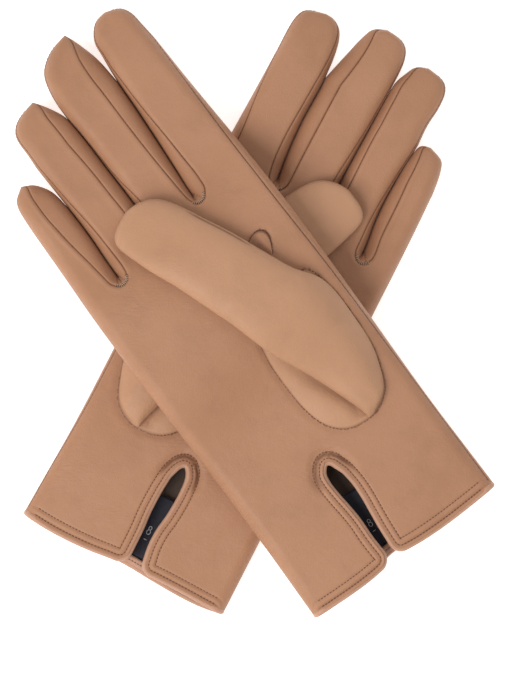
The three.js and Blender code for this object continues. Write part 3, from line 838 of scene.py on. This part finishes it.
def stitches(path, length, gap, width, height, start=0.5, swing=0.0):
    """Points and faces of a row of short thread stitches along a path lying on the leather."""
    path = np.asarray(path, float)
    walked = lengths_along(path)
    around = np.linspace(0, 2 * math.pi, STITCH_SIDES, endpoint=False)
    one = tube_faces(len(STITCH_STEPS), STITCH_SIDES)
    points, faces = [], []
    at = start
    while at + length < walked[-1]:
        a, b = points_at(path, walked, [at, at + length])
        at += length + gap
        ahead = (b - a) / np.linalg.norm(b - a)
        side = sideways(ahead)
        if swing:
            ahead = ahead + side * swing
            ahead /= np.linalg.norm(ahead)
            side = sideways(ahead)
            swing = -swing
        over = np.cross(side, ahead)
        middle = (a + b) / 2
        base = len(points)
        for along, thick in zip(STITCH_STEPS, STITCH_FATNESS):
            for angle in around:
                off = math.cos(angle) * side * width / 2 + math.sin(angle) * over * height / 2
                points.append(middle + ahead * along * length + off * thick)
        faces.extend([base + k for k in face] for face in one)
    return points, faces


def gather(parts):
    """Joins several (points, faces) pairs into one."""
    points, faces = [], []
    for some_points, some_faces in parts:
        base = len(points)
        points.extend(some_points)
        faces.extend([base + k for k in face] for face in some_faces)
    return points, faces


def outward_faces(glove, faces):
    """The same faces, turned over on the mirrored glove so that they still look outwards."""
    return [face[::-1] for face in faces] if glove["mirror"] < 0 else faces


# Materials
def shaded(colour, factor=1.0):
    """A colour made darker or lighter, with the fourth number that a colour socket wants."""
    return (*[min(1.0, c * factor) for c in colour], 1)


class Material:
    """A material whose nodes are added one call at a time, each call giving back one output.

    An input that is given a number or a colour is set, and one that is given an output is linked.
    """

    def __init__(self, name):
        self.made = bpy.data.materials.new(name)
        self.made.use_nodes = True
        self.tree = self.made.node_tree
        self.coords = self.add("ShaderNodeTexCoord", "Object", {})

    def connect(self, node, inputs):
        """Sets or links the inputs of a node."""
        for name, value in inputs.items():
            if isinstance(value, bpy.types.NodeSocket):
                self.tree.links.new(value, node.inputs[name])
            else:
                node.inputs[name].default_value = value

    def add(self, kind, output, inputs, **settings):
        """A new node's output, by name."""
        node = self.tree.nodes.new(kind)
        for name, value in settings.items():
            setattr(node, name, value)
        self.connect(node, inputs)
        return node.outputs[output]

    def shader(self, inputs):
        """Sets or links the inputs of the material's surface."""
        self.connect(self.tree.nodes["Principled BSDF"], inputs)

    def noise(self, scale, detail, roughness=0.55, vector=None):
        """Cloudy noise over the object."""
        inputs = {"Scale": scale, "Detail": detail, "Roughness": roughness}
        return self.add("ShaderNodeTexNoise", "Fac", {"Vector": vector or self.coords, **inputs})

    def spread(self, value, low, high, to_low=0.0, to_high=1.0):
        """A value moved from one range to another."""
        limits = {"From Min": low, "From Max": high, "To Min": to_low, "To Max": to_high}
        return self.add("ShaderNodeMapRange", "Result", {"Value": value, **limits})

    def mixed(self, factor, first, second):
        """A colour between two colours."""
        inputs = {"Factor": factor, "A": first, "B": second}
        return self.add("ShaderNodeMix", "Result", inputs, data_type="RGBA")

    def mark(self, label):
        """A number stored on the mesh, such as how dark its seams and painted shade are."""
        return self.add("ShaderNodeAttribute", "Fac", {}, attribute_name=label)

    def bump(self, height, strength, distance, under=None):
        """Small relief, on top of another if one is given."""
        inputs = {"Height": height, "Strength": strength, "Distance": distance}
        if under:
            inputs["Normal"] = under
        return self.add("ShaderNodeBump", "Normal", inputs)


# The dark brown that the seam mark mixes in, for seam lines and for painted shade.
SEAM_AND_SHADE_COLOUR = (0.15, 0.058, 0.027)


def leather_material(name, colour, warm, rough=0.5):
    """Smooth glove leather: soft blotches, fine pores and creases, a low sheen, and dark seams and painted
    shade.
    """
    leather = Material(name)
    patches = leather.spread(leather.noise(26, 4), 0.36, 0.66)
    blotch = leather.mixed(patches, shaded(colour), shaded(warm))
    stains = leather.spread(leather.noise(70, 5), 0.5, 0.78, 0, 0.55)
    blotch = leather.mixed(stains, blotch, shaded(colour, 0.86))
    pores = leather.add("ShaderNodeTexVoronoi", "Distance", {"Scale": 2100, "Vector": leather.coords})
    flecks = leather.spread(pores, 0.02, 0.22, 0.22, 0.0)
    blotch = leather.mixed(flecks, blotch, shaded(colour, 0.8))
    # The seam mark darkens seam lines and also paints shade: beside finger gaps, along tucks, over the
    # vent's top, in the heel's fold and inside the quirk.
    seam = leather.spread(leather.mark("seam"), 0.25, 0.95, 0, 0.92)
    turned = {"Rotation": (0, 0, 0.5), "Scale": (1.0, 3.2, 1.0), "Vector": leather.coords}
    stretched = leather.add("ShaderNodeMapping", "Vector", turned)
    wrinkle = leather.noise(330, 3, 0.5, stretched)
    creased = leather.spread(leather.mark("crease"), 0.0, 1.0, 0.08, 1.0)
    depth = leather.add("ShaderNodeMath", "Value", {0: wrinkle, 1: creased}, operation="MULTIPLY")
    folds = leather.bump(depth, 0.4, 0.0006)
    fine = leather.bump(pores, 0.26, 0.00025, folds)
    leather.shader({
        "Base Color": leather.mixed(seam, blotch, shaded(SEAM_AND_SHADE_COLOUR)),
        "Roughness": leather.spread(leather.noise(160, 4), 0.3, 0.7, rough - 0.05, rough + 0.09),
        "Normal": leather.bump(leather.noise(260, 6, 0.6), 0.22, 0.0012, fine),
        "Specular IOR Level": 0.3,
        "Sheen Weight": 0.08,
        "Sheen Roughness": 0.45,
        "Sheen Tint": (1.0, 0.86, 0.76, 1),
    })
    return leather.made


def plain_material(name, colour, roughness, scale=900, depth=0.0004, strength=0.5, weave=False):
    """Thread, knit or woven label: one colour broken up by a fine texture."""
    plain = Material(name)
    kind = "ShaderNodeTexWave" if weave else "ShaderNodeTexNoise"
    texture = plain.add(kind, "Fac", {"Scale": scale, "Vector": plain.coords})
    plain.shader({
        "Base Color": plain.mixed(texture, shaded(colour, 0.6), shaded(colour, 1.35)),
        "Roughness": plain.spread(texture, 0, 1, roughness - 0.08, min(1.0, roughness + 0.06)),
        "Normal": plain.bump(texture, strength, depth),
    })
    return plain.made


PALM_LEATHER = leather_material("palm_leather", (0.405, 0.199, 0.108), (0.437, 0.219, 0.123))
FOURCHETTE_LEATHER = leather_material(
    "fourchette_leather", (0.375, 0.178, 0.094), (0.405, 0.197, 0.108), 0.55
)
THUMB_LEATHER = leather_material("thumb_leather", (0.475, 0.252, 0.142), (0.50, 0.268, 0.153))
# The rolled edge's own leather colour, raised a little further as a painted highlight on the roll.
ROLL_LEATHER = leather_material("roll_leather", (0.50, 0.272, 0.176), (0.53, 0.293, 0.193), 0.46)
KNIT = plain_material("lining_knit", (0.22, 0.145, 0.108), 0.9, 1400, 0.0006, 0.8, True)
LABEL = plain_material("label_weave", (0.014, 0.013, 0.022), 0.55, 2200, 0.0002, 0.4, True)
LABEL_INK = plain_material("label_thread", (0.5, 0.5, 0.52), 0.6)
DARK_THREAD = plain_material("dark_thread", (0.15, 0.062, 0.03), 0.7, 3000, 0.0002, 0.4)
PALE_THREAD = plain_material("pale_thread", (0.6, 0.4, 0.28), 0.65, 3000, 0.0002, 0.4)

# Sections of the thumb stall from its heel up: the share of its length, and its left and right edge.
THUMB_SECTIONS = [
    (0.0, (20.4, 50.9), (23.0, 50.9)),
    (0.06, (19.6, 55.0), (30.6, 55.2)),
    (0.16, (16.0, 66.0), (36.9, 66.8)),
    (0.32, (10.4, 80.6), (39.8, 87.0)),
    (0.46, (2.6, 98.6), (38.2, 107.4)),
    (0.55, (-1.2, 112.0), (31.6, 117.6)),
    (0.66, (-6.6, 127.5), (26.2, 129.6)),
    (0.76, (-11.0, 139.8), (20.2, 143.6)),
    (0.86, (-15.8, 151.2), (13.6, 157.0)),
    (0.90, (-17.8, 157.0), (11.0, 162.5)),
]
THUMB_TIP_LEFT = [
    (-17.8, 157.0), (-19.6, 162.5), (-20.3, 166.4), (-19.4, 169.9), (-15.9, 172.9), (-9.5, 175.9),
]
# Where the stall's tip begins and how long it is, as shares of the stall's length.
TIP_START = 0.9
TIP_LENGTH = 0.1
THUMB_HEIGHT = curve(
    (0, 0.7), (0.03, 2.6), (0.08, 4.3), (0.16, 6.0), (0.32, 7.8), (0.5, 8.8), (0.8, 9.0), (1, 8.0),
)
THUMB_TIP_RIGHT = [(11.0, 162.5), (6.9, 169.4), (2.3, 173.9), (-3.6, 176.0), (-9.5, 175.9)]


def palm_base(across, along):
    """Height of the palm under the thumb, without its seams."""
    side = np.clip(1 - (46.0 - np.abs(across)) / 5, 0, 1)
    return palm_height(along) + palm_swell(across, along) - 3 * side**2


def thumb_grid():
    """Upper and lower faces of the thumb stall, as grids of flat glove points."""
    marks = np.array([section[0] for section in THUMB_SECTIONS])
    left = np.array([section[1] for section in THUMB_SECTIONS], float)
    right = np.array([section[2] for section in THUMB_SECTIONS], float)
    edges = (left[:, 0], left[:, 1], right[:, 0], right[:, 1])
    curves = [curve(*zip(marks, values)) for values in edges]
    q = np.concatenate([
        np.linspace(0, 0.16, 16),
        np.linspace(0.16, TIP_START, 72)[1:],
        TIP_START + TIP_LENGTH * np.sin(np.linspace(0, math.pi / 2, 22))[1:],
    ])
    lx, ly, rx, ry = (line(q) for line in curves)
    tip = q >= TIP_START
    share = (q[tip] - TIP_START) / TIP_LENGTH
    lx[tip], ly[tip] = part_way(THUMB_TIP_LEFT, share).T
    rx[tip], ry[tip] = part_way(THUMB_TIP_RIGHT, share).T
    closing = np.ones_like(q)
    closing[tip] = np.clip(1 - share**2, 0, 1) ** 0.42
    closing = closing[:, None]
    high = THUMB_HEIGHT(q)
    free = smooth((q - 0.42) / 0.12)
    edge_right = high * 0.42 * free + 0.05
    fold = smooth((q - 0.03) / 0.3)
    edge_left = high * 0.45 * np.maximum(free, fold) + 0.05
    k = (1 - np.cos(np.linspace(0, math.pi, 41))) / 2
    across = lx[:, None] + (rx - lx)[:, None] * k
    along = ly[:, None] + (ry - ly)[:, None] * k
    edge = edge_left[:, None] * (1 - k) + edge_right[:, None] * k
    flush = np.where(k > 0.5, (1 - free)[:, None] * smooth((q - 0.04) / 0.1)[:, None], 0)
    shape = np.clip(1 - np.abs(2 * k - 1) ** (3.4 - 1.2 * flush), 0, 1) ** (0.5 + 0.4 * flush)
    base = palm_base(across, along) + THUMB_CLEAR
    ripple = 0.22 * np.sin(along / 13 + across / 9) * shape
    seam_line = np.abs(k - 0.972) * (rx - lx)[:, None]
    seam_on = (smooth((q - 0.66) / 0.08) * (1 - smooth((q - 0.86) / 0.06)))[:, None]
    groove = bell(seam_line, 0.5) * seam_on
    upper = base + edge + ((high[:, None] - edge) * shape + ripple - 0.35 * groove) * closing
    under = base + edge * (1 - closing * np.sqrt(np.clip(1 - np.abs(2 * k - 1) ** 4, 0, 1)))
    seam = groove * 0.9
    return np.stack([across, along, upper], 2), np.stack([across, along, under], 2), seam


def thumb_skin(glove):
    """The thumb stall's leather as one closed, welded mesh."""
    upper, under, mark = thumb_grid()
    rows, cols = upper.shape[:2]
    top = np.array(grid_faces(rows, cols))
    bottom = top[:, TURNED_OVER] + rows * cols
    foot = np.arange(cols - 1)
    closing = np.stack([foot, foot + rows * cols, foot + rows * cols + 1, foot + 1], 1)
    flat = np.concatenate([upper.reshape(-1, 3), under.reshape(-1, 3)])
    seam = np.concatenate([mark.reshape(-1), np.zeros(rows * cols)])
    return welded_skin(glove, flat, seam, np.concatenate([top, bottom, closing]))


# The fold that runs down the thumb's heel.
CREASE = [(3.0, 97.0), (8.0, 87.0), (12.8, 74.0), (18.0, 61.0), (19.6, 54.5)]
HEEL_SWELL = 2.3


def heel_patch():
    """The thumb leather inside the oval seam, puffed up from the palm, with painted shade along its fold.
    """
    centre = np.array([19.0, 79.0])
    rings = np.linspace(0, 1, 26) ** 0.75
    edge = OVAL_LINE[::2]
    points, marks = [], []
    crease = resample(CREASE, 0.4)
    for ring in rings:
        line = centre + (edge - centre) * ring
        gaps = distance_to_line(line[:, 0], line[:, 1], crease)
        for (across, along), gap in zip(line, gaps):
            swell = HEEL_SWELL * (1 - ring**5) ** 0.9
            low_end = smooth((100 - along) / 35)
            dent = 1.9 * low_end * bell(gap, 3.2) * smooth((1 - ring) * 8)
            points.append((across, along, palm_base(across, along) - 0.35 + swell - dent))
            # Painted shade along the lower part of the fold, where its dent lies; the oval's edge is
            # darkened as a seam.
            fold = 0.6 * low_end * bell(gap, 2.2) * smooth((1 - ring) * 9)
            marks.append(max(0.75 * bell((1 - ring) * 22, 0.8), fold))
    faces = np.array(grid_faces(len(rings), len(edge), wrap_cols=True))[:, TURNED_OVER].tolist()
    return points, faces, marks


def quirk_patch():
    """The small arched gusset beside the thumb, with a dark edge and painted shade inside it."""
    rings, count = 10, 36
    arch = spline(QUIRK, count)
    foot = np.array([QUIRK[0], QUIRK[-1]])
    edge = foot[0] + (foot[1] - foot[0]) * np.linspace(0, 1, count)[:, None]
    points, marks = [], []
    for ring in np.linspace(0, 1, rings):
        for near, far in zip(edge, arch):
            across, along = near + (far - near) * ring
            fold = 0.5 * bell(across - 28.6, 1.3)
            rise = 0.75 if ring < 1 else -0.3
            swell = (0.5 + fold) * math.sqrt(max(0.0, 1 - ring**4)) + rise
            points.append((across, along, palm_base(across, along) + swell))
            # Its edge is dark, and painted shade darkens its inside, most at about 25.5 mm across.
            marks.append(max(0.6 * bell(across - 25.5, 3.2), 1.2 * bell((1 - ring) * 8, 1.1)))
    faces = [face[::-1] for face in grid_faces(rings, count)]
    return points, faces, marks, arch


FINGER_MIDDLE = {"index": 31, "middle": 6, "ring": -16, "little": -37}


def blend_finger(obj, glove, lane):
    """Bakes a finger piece's placement into its mesh; the knuckle points that it works out are not used."""
    at = knuckle_of(lane)
    start = place_one(glove, FINGER_MIDDLE[lane], at - KNUCKLE_REACH + 1, 12)
    end = place_one(glove, FINGER_MIDDLE[lane], at + KNUCKLE_REACH - 1, 12)
    end = (end[0], end[1], start[2])
    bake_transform(obj)


def slot_of(name):
    """The material slot of a piece of the outer leather."""
    if "fourchette" in name or "fork" in name:
        return "fourchette"
    return "leather"


def add_piece(glove, name, points, faces, material, slot, marks=None, lane=None, node=None):
    """Adds one piece given in flat millimetres, riding on the hand or baked in place for a finger."""
    side_name = glove["name"]
    faces = outward_faces(glove, faces)
    obj = new_object(f"{side_name}_{name}", place(glove, points), faces, material, None, marks)
    if lane:
        blend_finger(obj, glove, lane)
    else:
        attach(obj, f"{side_name}_hand")
    if node:
        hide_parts(f"{side_name}_{node}")
    return obj


def add_leather(glove, skin):
    """The palm, the back, the forks and the fingers, each cut out of the one skin."""
    side_name = glove["name"]
    for name in sorted(set(skin["names"])):
        chosen = np.nonzero(skin["names"] == name)[0]
        look = FOURCHETTE_LEATHER if slot_of(name) == "fourchette" else PALM_LEATHER
        obj = part_object(f"{side_name}_{name}_skin", skin, chosen, look)
        lane = name.split("_")[0]
        if lane in LANES:
            blend_finger(obj, glove, lane)
        else:
            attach(obj, f"{side_name}_hand")
        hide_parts(f"{side_name}_{name}")


ROLL_SINK = 0.95
ROLL_SIDES = 14


def add_rolled_edge(glove):
    """One long tube: the palm side's hem and vent, and round the back of the cuff."""
    far, near = float(glove["far_edge"](0.0)), float(glove["near_edge"](0.0))
    across, along = glove["rim"].T
    in_vent = smooth((along - HEM_LINE - 1) / 4)
    front = np.stack([across, along, palm_height(along) - ROLL_SINK + 0.25 * in_vent], 1)
    thicker = 0.3 * smooth((along - ARCH_START) / 7)
    front_radii = HEM_ROLL + (VENT_ROLL - HEM_ROLL) * in_vent + thicker
    low, high = HEM_ROLL, float(palm_height(0.0)) - ROLL_SINK
    angles = np.radians(np.linspace(84, -84, 13))
    turn_out = 3.4 * np.cos(angles)
    turn_up = (low + high) / 2 + (high - low) / 2 * np.sin(angles)
    level = np.full(len(angles), HEM_LINE)
    under = np.linspace(near - HEM_END - 0.1, far + HEM_END + 0.1, 80)
    back = np.concatenate([
        np.stack([near - HEM_END + turn_out, level, turn_up], 1),
        np.stack([under, np.full(len(under), HEM_LINE), np.full(len(under), low)], 1),
        np.stack([far + HEM_END - turn_out, level, turn_up], 1)[::-1],
    ])
    path = np.concatenate([front, back])
    radii = np.concatenate([front_radii, np.full(len(back), HEM_ROLL)])
    is_vent = np.concatenate([along > HEM_LINE + 1.2, np.zeros(len(back), bool)])
    points, faces = tube(path, radii, ROLL_SIDES, True)
    quads = np.array(outward_faces(glove, faces))
    world = place(glove, points)
    roll = {
        "points": world, "quads": quads, "normals": vertex_normals(world, quads),
        "seam": np.zeros(len(world)),
    }
    owner = np.repeat(is_vent, ROLL_SIDES)
    pieces = (("vent_binding_roll", owner, "vent_binding"), ("cuff_hem_roll", ~owner, "cuff_hem"))
    for name, chosen, node in pieces:
        chosen = np.nonzero(chosen)[0]
        obj = part_object(f"{glove['name']}_{name}", roll, chosen, ROLL_LEATHER)
        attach(obj, f"{glove['name']}_hand")
        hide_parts(f"{glove['name']}_{node}")


def add_edge_stitching(glove, height):
    """Two rows of stitches beside the rolled edge."""
    rows = []
    for distance in ROW_OFFSETS:
        line = offset_inward(resample(glove["rim"], 0.35), distance)
        line = [(a, s, height(a, s) + 0.1) for a, s in line]
        rows.append(stitches(line, length=1.0, gap=0.42, width=0.42, height=0.34))
    points, faces = gather(rows)
    add_piece(glove, "edge_stitching", points, faces, DARK_THREAD, "binding")


def add_seam_stitching(glove, height):
    """Seam threads along the fingers, the sides and round the thumb's heel."""
    hand_rows, finger_rows = [], {lane: [] for lane in LANES}
    seam = {"length": 1.25, "gap": 0.4, "width": 0.3, "height": 0.3}
    for (lane, _), flat_line in glove["seams"].items():
        line = np.array([(a, s, height(a, s) + 0.02) for a, s in flat_line])
        cut = knuckle_of(lane) - KNUCKLE_REACH
        low = line[line[:, 1] <= cut + 0.5]
        high = line[(line[:, 1] > cut) & (line[:, 1] < line[:, 1].max() - 0.8)]
        hand_rows.append(stitches(low, **seam, start=0.1))
        finger_rows[lane].append(stitches(high, **seam, start=0.3))
    for flat_line in (spline(OVAL, 260), HOLE_TOP):
        line = [(a, s, height(a, s) + 0.15) for a, s in flat_line]
        hand_rows.append(stitches(line, length=1.0, gap=0.45, width=0.42, height=0.4, swing=0.28))
    points, faces = gather(hand_rows)
    add_piece(glove, "seam_stitching", points, faces, DARK_THREAD, "leather")
    for lane, rows in finger_rows.items():
        points, faces = gather(rows)
        add_piece(glove, f"{lane}_seam_stitching", points, faces, DARK_THREAD, "leather", lane=lane)


def add_crotch_tacks(glove, height):
    """Zigzag tacks round the foot of each crotch, one thread pale and the next dark, the dark one painted
    shade.
    """
    tacks, painted_shade_tacks = [], []
    for at, where in glove["crotch"].values():
        for turn in np.radians(np.linspace(205, 335, 11)):
            ends = [(radius, turn + swing) for radius, swing in ((2.3, 0.0), (4.0, 0.14), (2.3, 0.26))]
            ends = [(where + r * math.cos(t), at + 3.3 + r * math.sin(t)) for r, t in ends]
            for rows, start, end in ((tacks, ends[0], ends[1]), (painted_shade_tacks, ends[1], ends[2])):
                middle = ((start[0] + end[0]) / 2, (start[1] + end[1]) / 2)
                spots = ((start, 0.12), (middle, 0.3), (end, 0.12))
                line = [(*spot, height(*spot) + rise) for spot, rise in spots]
                rows.append(stitches(line, length=1.5, gap=0.1, width=0.32, height=0.4, start=0.05))
    # The dark legs stand in for shade on the zigzag.
    for name, rows, thread in (
        ("crotch_painted_shade_tacks", painted_shade_tacks, DARK_THREAD),
        ("crotch_tacks", tacks, PALE_THREAD),
    ):
        points, faces = gather(rows)
        add_piece(glove, name, points, faces, thread, "leather")


def add_thumb(glove, height):
    """The thumb stall, the heel patch that it grows out of, and the quirk beside it."""
    side_name = glove["name"]
    thumb = thumb_skin(glove)
    chosen = np.arange(len(thumb["quads"]))
    obj = part_object(f"{side_name}_thumb_stall_skin", thumb, chosen, THUMB_LEATHER)
    start = place_one(glove, 21.0, 56.0, 14)
    end = place_one(glove, 9.4, 101.0, 14)
    end = (end[0], end[1], start[2])
    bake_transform(obj)
    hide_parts(f"{side_name}_thumb_stall")
    points, faces, marks = heel_patch()
    add_piece(glove, "thumb_heel", points, faces, THUMB_LEATHER, "thumb", marks=marks)
    points, faces, marks, arch = quirk_patch()
    quirk = {"marks": marks, "node": "thumb_quirk"}
    add_piece(glove, "thumb_quirk_skin", points, faces, PALM_LEATHER, "leather", **quirk)
    line = [(a, s, height(a, s) + 0.25) for a, s in arch]
    points, faces = stitches(line, length=1.1, gap=0.12, width=0.46, height=0.4, start=0.1)
    add_piece(glove, "quirk_stitching", points, faces, DARK_THREAD, "leather")


LINING_WIDTH = 0.968


def add_lining(glove):
    """An inner skin a little inside the leather of the hand, for the palm side and the back."""
    for top, node in ((True, "palm_lining"), (False, "back_lining")):
        parts = []
        for lane in LANES:
            grid, _ = lane_grid(glove, lane, top)
            along = grid[:, 0, 1]
            grid = grid[(along > (2.2 if top else 4.6)) & (along < PALM_END)][:, ::2]
            centre = palm_height(grid[:, :, 1]) / 2
            if top:
                grid[:, :, 2] = np.maximum(grid[:, :, 2] - 1.3, centre + 0.05)
            else:
                grid[:, :, 2] = np.minimum(grid[:, :, 2] + 1.2, centre - 0.05)
            grid[:, :, 0] *= LINING_WIDTH
            faces = grid_faces(*grid.shape[:2])
            if top:
                faces = [face[::-1] for face in faces]
            parts.append((grid.reshape(-1, 3), faces))
        points, faces = gather(parts)
        add_piece(glove, f"{node}_knit", points, faces, KNIT, "lining", node=node)


def add_hem_facing(glove):
    """The back's hem, turned in and stitched down, seen through the open foot of the vent."""
    middle = float(vent_middle(glove, 8.0))
    profile = ((1.5, 2.4), (2.2, 3.3), (3.0, 3.1), (3.8, 3.4), (4.7, 3.3), (4.9, 2.6))
    ledge = [(middle + across, *spot) for spot in profile for across in np.linspace(-9, 9, 7)]
    faces = grid_faces(len(profile), 7)
    add_piece(glove, "hem_facing", ledge, faces, ROLL_LEATHER, "binding")
    row = [(middle + across, 3.0, 3.2) for across in np.linspace(-8, 8, 30)]
    points, faces = stitches(row, length=0.9, gap=0.4, width=0.36, height=0.3)
    add_piece(glove, "hem_facing_stitching", points, faces, DARK_THREAD, "binding")


LABEL_END = 31
LABEL_THICKNESS = 0.0005


def add_label(glove):
    """The size label, sewn to the lining under the vent, with a plain figure 8 and a short dash."""
    rows, cols = 30, 9
    grid = []
    for along in np.linspace(5.0, LABEL_END, rows):
        for across in np.linspace(-7.2, 7.2, cols):
            up = 2.1 + 0.25 * math.sin(along / 4) + 1.6 * smooth(along / LABEL_END)
            grid.append((float(vent_middle(glove, along)) + across, along, up))
    faces = grid_faces(rows, cols)
    label = add_piece(glove, "size_label_cloth", grid, faces, LABEL, "label", node="size_label")
    solid = label.modifiers.new("thickness", "SOLIDIFY")
    solid.thickness = LABEL_THICKNESS
    turn = np.linspace(0, 2 * math.pi, 25)[:-1]
    parts = []
    for centre, radius in ((17.0, 0.7), (15.4, 0.9)):
        middle = float(vent_middle(glove, centre))
        wide = 0.85 * radius
        loop = [(middle + wide * math.cos(a), centre + radius * math.sin(a), 3.2) for a in turn]
        parts.append(tube(loop, 0.16, 6, True))
    dash_at = 12.4
    middle = float(vent_middle(glove, dash_at))
    dash = [(middle + across, dash_at, up) for across, up in ((-0.7, 3.1), (0, 3.15), (0.7, 3.1))]
    parts.append(tube(dash, 0.15, 6))
    points, faces = gather(parts)
    add_piece(glove, "size_numeral", points, faces, LABEL_INK, "label")


def build_glove(glove):
    """All the pieces of one glove."""
    glove["rim"] = rim_line(glove)
    glove["seams"] = seam_lines(glove)
    glove["tucks"] = tuck_lines(glove)
    skin = glove_skin(glove)
    height = surface_finder(skin)
    add_leather(glove, skin)
    add_rolled_edge(glove)
    add_edge_stitching(glove, height)
    add_seam_stitching(glove, height)
    add_crotch_tacks(glove, height)
    add_thumb(glove, height)
    add_lining(glove)
    add_hem_facing(glove)
    add_label(glove)


build_glove(LEFT)
build_glove(RIGHT)

# Floor, light and camera.
floor_mesh = bpy.data.meshes.new("floor")
floor_mesh.from_pydata([(-3, -3, 0), (3, -3, 0), (3, 3, 0), (-3, 3, 0)], [], [(0, 1, 2, 3)])
floor = bpy.data.objects.new("floor", floor_mesh)
bpy.context.scene.collection.objects.link(floor)
floor_material = bpy.data.materials.new("floor_paper")
floor_material.use_nodes = True
paper = floor_material.node_tree.nodes["Principled BSDF"]
paper.inputs["Base Color"].default_value = (0.93, 0.93, 0.93, 1)
paper.inputs["Roughness"].default_value = 0.9
paper.inputs["Specular IOR Level"].default_value = 0.1
paper.inputs["Emission Color"].default_value = (1, 1, 1, 1)
paper.inputs["Emission Strength"].default_value = 0.62
floor_mesh.materials.append(floor_material)
floor.location.z = -0.0002


def area_light(name, place_at, size, power):
    """A square soft box that faces the middle of the scene."""
    data = bpy.data.lights.new(name, "AREA")
    data.shape = "SQUARE"
    data.size = size
    data.energy = power
    light = bpy.data.objects.new(name, data)
    light.location = place_at
    light.rotation_euler = (-Vector(place_at)).to_track_quat("-Z", "Y").to_euler()
    bpy.context.scene.collection.objects.link(light)


area_light("key", (-0.9, -0.7, 1.5), 1.2, 26)
area_light("fill", (0.6, 0.9, 1.4), 1.2, 4)
world = bpy.data.worlds.new("studio")
world.use_nodes = True
world.node_tree.nodes["Background"].inputs["Color"].default_value = (1, 1, 1, 1)
world.node_tree.nodes["Background"].inputs["Strength"].default_value = 0.5
bpy.context.scene.world = world
bpy.context.scene.view_settings.view_transform = "Standard"

CAMERA_HEIGHT = 3.6
SENSOR_HEIGHT = 24
FIELD_TALL = 0.2746
MIDDLE_HEIGHT = 0.018
camera_data = bpy.data.cameras.new("camera")
camera_data.sensor_fit = "VERTICAL"
camera_data.sensor_height = SENSOR_HEIGHT
camera_data.lens = SENSOR_HEIGHT * (CAMERA_HEIGHT - MIDDLE_HEIGHT) / FIELD_TALL
camera = bpy.data.objects.new("camera", camera_data)
camera.location = (-0.0005, -0.0113, CAMERA_HEIGHT)
bpy.context.scene.collection.objects.link(camera)
bpy.context.scene.camera = camera
